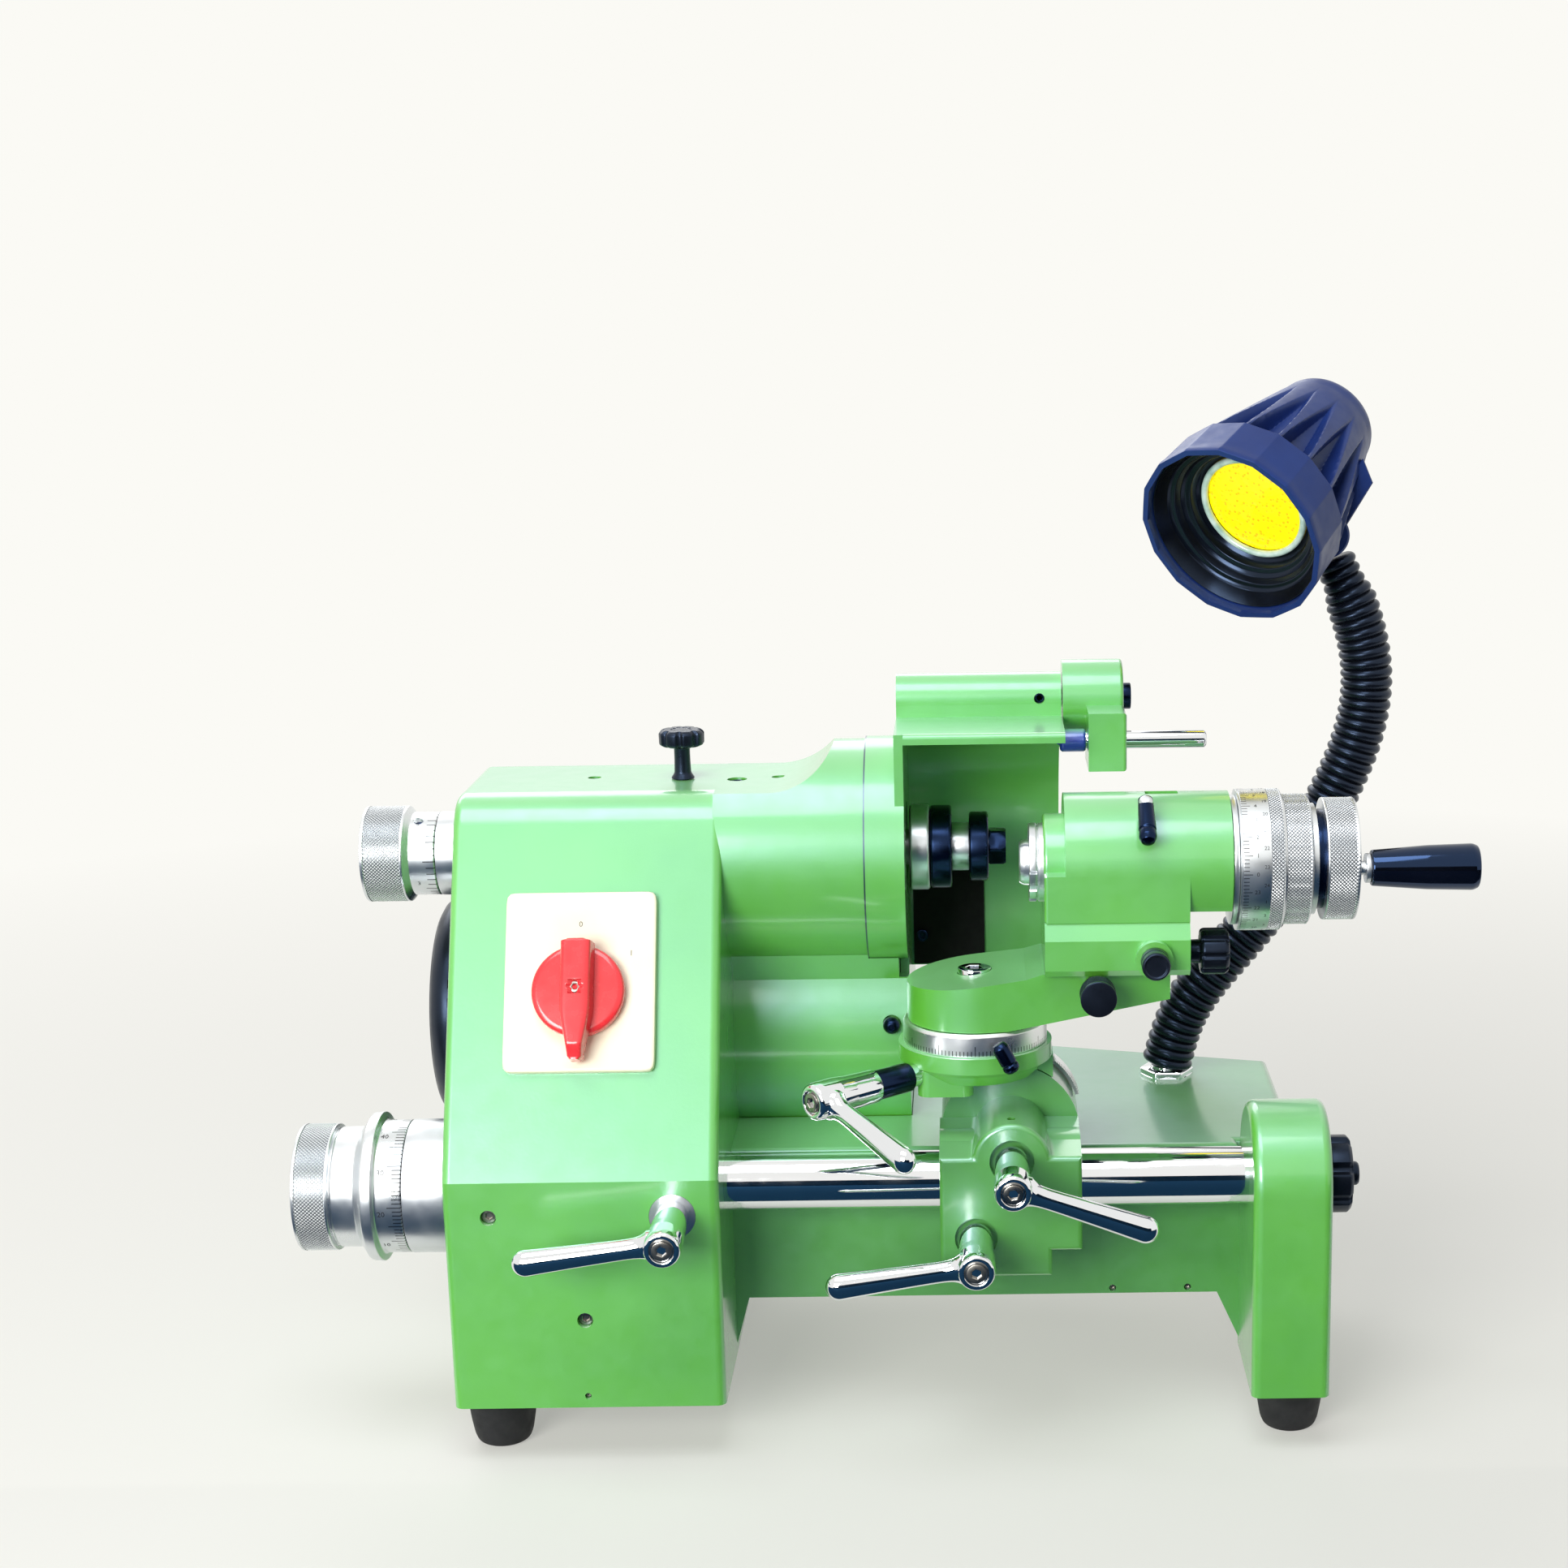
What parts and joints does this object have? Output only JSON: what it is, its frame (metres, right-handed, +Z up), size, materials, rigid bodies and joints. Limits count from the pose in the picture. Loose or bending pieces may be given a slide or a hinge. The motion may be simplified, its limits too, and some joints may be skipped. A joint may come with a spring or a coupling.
{
  "type": "tool and cutter grinder",
  "caption": "Bench tool and cutter grinder: hollow column with belt-driven spindle and wheel guard, guide bar with swinging carriage, swivelling indexing workhead, clamp levers and work lamp.",
  "frame": {"origin": "on the bench under the middle of the machine's bounding box", "axes": "+Z up, +X to the operator's right along the guide bar, -Y towards the operator"},
  "size_m": [0.5079, 0.2782, 0.4527],
  "materials": {
    "green_paint": "glossy green enamel on cast iron",
    "chrome": "polished chrome",
    "satin_steel": "satin turned steel with engraved scales",
    "black_steel": "black oxide steel",
    "bright_steel": "ground steel",
    "black_plastic": "gloss black plastic",
    "lamp_plastic": "satin blue-black plastic",
    "red_plastic": "gloss red plastic",
    "ivory_plastic": "ivory plastic",
    "rubber": "black rubber",
    "motor_paint": "dark grey motor paint",
    "lens": "yellow glass",
    "reflector": "black inner bowl",
    "blue_steel": "blue anodised holder and steel rod",
    "brass": "turned brass"
  },
  "bodies": {
    "machine_frame": {"column_casting": "green_paint", "bearing_sleeves": "bright_steel", "motor_housing": "green_paint", "bed_casting": "green_paint", "end_bracket": "green_paint", "covers": "green_paint", "cap_screws": "black_steel", "wheel_guard": "green_paint", "guard_flap": "rubber", "feet": "rubber", "motor_body": "motor_paint", "motor_fan_cowl": "black_plastic", "drive_belt": "rubber", "dial_sleeves": "satin_steel", "switch_plate": "ivory_plastic", "switch_body": "black_plastic", "cable_gland": "black_plastic", "lamp_nut": "chrome", "lamp_gooseneck": "lamp_plastic"},
    "rotor": {"motor_rotor": "bright_steel", "motor_pulley": "satin_steel"},
    "quill": {"spindle_quill": "bright_steel", "spindle_bearings": "bright_steel"},
    "spindle": {"spindle_shaft": "bright_steel", "spindle_pulley": "satin_steel", "wheel_flanges": "black_steel", "wheel_nut": "black_steel"},
    "spindle_feed": {"spindle_feed_knob": "satin_steel"},
    "spindle_lock": {"spindle_lock_knob": "black_plastic"},
    "bar": {"guide_bar": "chrome"},
    "bar_feed": {"bar_feed_knob": "satin_steel"},
    "bar_clamp": {"bar_clamp_lever": "chrome"},
    "bar_stop": {"bar_stop_knob": "black_plastic"},
    "bush": {"carriage_bush": "brass"},
    "carriage": {"carriage_body": "green_paint"},
    "carriage_clamp": {"carriage_clamp_lever": "chrome"},
    "relief_clamp": {"relief_clamp_lever": "chrome"},
    "tilt_head": {"swivel_base": "green_paint", "swivel_scale": "satin_steel"},
    "tilt_clamp": {"tilt_clamp_lever": "chrome"},
    "swivel_lock": {"swivel_lock_lever": "black_steel"},
    "arm": {"swivel_arm": "green_paint", "pivot_screw": "chrome"},
    "slide": {"cross_slide": "green_paint", "workhead_body": "green_paint"},
    "slide_feed": {"slide_feed_knob": "black_plastic"},
    "slide_lock": {"slide_lock_knob": "black_plastic"},
    "gib_lock": {"gib_lock_knob": "black_plastic"},
    "index": {"index_lever": "black_steel"},
    "work_spindle": {"workhead_spindle": "bright_steel", "collet": "bright_steel", "index_dial": "satin_steel", "hand_knob": "satin_steel"},
    "crank": {"crank_handle": "black_plastic"},
    "dresser": {"dresser_arm": "green_paint"},
    "diamond": {"dresser_rod": "blue_steel"},
    "switch": {"switch_knob": "red_plastic"},
    "lamp": {"lamp_head": "lamp_plastic", "lamp_reflector": "reflector", "lamp_lens": "lens"}
  },
  "joints": [
    {"name": "rotor_spin", "type": "hinge", "parent": "machine_frame", "child": "rotor", "pos_m": [-0.1, 0.066, 0.162], "axis": [1, 0, 0], "continuous": true},
    {"name": "quill_slide", "type": "slide", "parent": "machine_frame", "child": "quill", "axis": [1, 0, 0], "range_m": [-0.004, 0.004]},
    {"name": "spindle_spin", "type": "hinge", "parent": "quill", "child": "spindle", "pos_m": [0, 0.021, 0.248], "axis": [1, 0, 0], "continuous": true},
    {"name": "spindle_feed_turn", "type": "hinge", "parent": "machine_frame", "child": "spindle_feed", "pos_m": [-0.22, 0.021, 0.248], "axis": [1, 0, 0], "range_deg": [-1440, 1440]},
    {"name": "spindle_lock_turn", "type": "hinge", "parent": "machine_frame", "child": "spindle_lock", "pos_m": [-0.093, 0.021, 0.3], "axis": [0, 0, 1], "range_deg": [-90, 90]},
    {"name": "bar_slide", "type": "slide", "parent": "machine_frame", "child": "bar", "axis": [1, 0, 0], "range_m": [-0.005, 0.005]},
    {"name": "bar_feed_turn", "type": "hinge", "parent": "machine_frame", "child": "bar_feed", "pos_m": [-0.23, -0.061, 0.117], "axis": [1, 0, 0], "range_deg": [-1800, 1800]},
    {"name": "bar_clamp_turn", "type": "hinge", "parent": "machine_frame", "child": "bar_clamp", "pos_m": [-0.092, -0.094, 0.113], "axis": [0, 1, 0], "range_deg": [-60, 60]},
    {"name": "bar_stop_turn", "type": "hinge", "parent": "machine_frame", "child": "bar_stop", "pos_m": [0.195, -0.061, 0.117], "axis": [1, 0, 0], "range_deg": [-90, 90]},
    {"name": "carriage_travel", "type": "slide", "parent": "bar", "child": "bush", "axis": [1, 0, 0], "range_m": [-0.03, 0.06]},
    {"name": "carriage_swing", "type": "hinge", "parent": "bush", "child": "carriage", "pos_m": [0.052, -0.061, 0.117], "axis": [1, 0, 0], "range_deg": [-4, 45]},
    {"name": "carriage_clamp_turn", "type": "hinge", "parent": "carriage", "child": "carriage_clamp", "pos_m": [0.0374, -0.088, 0.099], "axis": [0, 1, 0], "range_deg": [-35, 35]},
    {"name": "relief_clamp_turn", "type": "hinge", "parent": "carriage", "child": "relief_clamp", "pos_m": [0.053, -0.088, 0.1334], "axis": [0, 1, 0], "range_deg": [-40, 40]},
    {"name": "relief_tilt", "type": "hinge", "parent": "carriage", "child": "tilt_head", "pos_m": [0.053, -0.046, 0.1334], "axis": [0, 1, 0], "range_deg": [-22, 30]},
    {"name": "tilt_clamp_turn", "type": "hinge", "parent": "tilt_head", "child": "tilt_clamp", "pos_m": [0.009, -0.0686, 0.166], "axis": [-0.7501, -0.6613, 0], "range_deg": [-45, 45]},
    {"name": "swivel_lock_turn", "type": "hinge", "parent": "tilt_head", "child": "swivel_lock", "pos_m": [0.05, -0.0775, 0.1802], "axis": [0, 1, 0], "range_deg": [-40, 40]},
    {"name": "arm_swivel", "type": "hinge", "parent": "tilt_head", "child": "arm", "pos_m": [0.038, -0.046, 0.187], "axis": [0, 0, 1], "range_deg": [-90, 5]},
    {"name": "cross_feed", "type": "slide", "parent": "arm", "child": "slide", "axis": [1, 0, 0], "range_m": [-0.01, 0.01]},
    {"name": "cross_feed_turn", "type": "hinge", "parent": "slide", "child": "slide_feed", "pos_m": [0.138, -0.058, 0.2176], "axis": [1, 0, 0], "range_deg": [-3600, 3600]},
    {"name": "slide_lock_turn", "type": "hinge", "parent": "arm", "child": "slide_lock", "pos_m": [0.09, -0.088, 0.206], "axis": [0, 1, 0], "range_deg": [-180, 180]},
    {"name": "gib_lock_turn", "type": "hinge", "parent": "slide", "child": "gib_lock", "pos_m": [0.114, -0.09, 0.22], "axis": [0, 1, 0], "range_deg": [-180, 180]},
    {"name": "index_turn", "type": "hinge", "parent": "slide", "child": "index", "pos_m": [0.111, -0.046, 0.255], "axis": [0, -0.6018, 0.7986], "range_deg": [-30, 30]},
    {"name": "work_spin", "type": "hinge", "parent": "slide", "child": "work_spindle", "pos_m": [0.11, -0.046, 0.255], "axis": [1, 0, 0], "continuous": true},
    {"name": "crank_spin", "type": "hinge", "parent": "work_spindle", "child": "crank", "pos_m": [0.225, -0.066, 0.255], "axis": [1, 0, 0], "continuous": true},
    {"name": "dresser_swing", "type": "hinge", "parent": "machine_frame", "child": "dresser", "pos_m": [0.093, 0.039, 0.3135], "axis": [1, 0, 0], "range_deg": [0, 60]},
    {"name": "diamond_slide", "type": "slide", "parent": "dresser", "child": "diamond", "axis": [1, 0, 0], "range_m": [-0.006, 0]},
    {"name": "switch_turn", "type": "hinge", "parent": "machine_frame", "child": "switch", "pos_m": [-0.1318, -0.0579, 0.2018], "axis": [0, -0.8957, 0.4446], "range_deg": [-60, 60]},
    {"name": "lamp_tilt", "type": "hinge", "parent": "machine_frame", "child": "lamp", "pos_m": [0.2033, 0.076, 0.3825], "axis": [0.8, -0.6, 0], "range_deg": [-15, 15]}
  ],
  "couplings": [
    {"joint": "spindle_spin", "follows": "rotor_spin", "ratio": 1.85},
    {"joint": "spindle_feed_turn", "follows": "quill_slide", "rad_per_m": 6283.2},
    {"joint": "bar_feed_turn", "follows": "bar_slide", "rad_per_m": 6283.2},
    {"joint": "cross_feed_turn", "follows": "cross_feed", "rad_per_m": 6283.2}
  ]
}
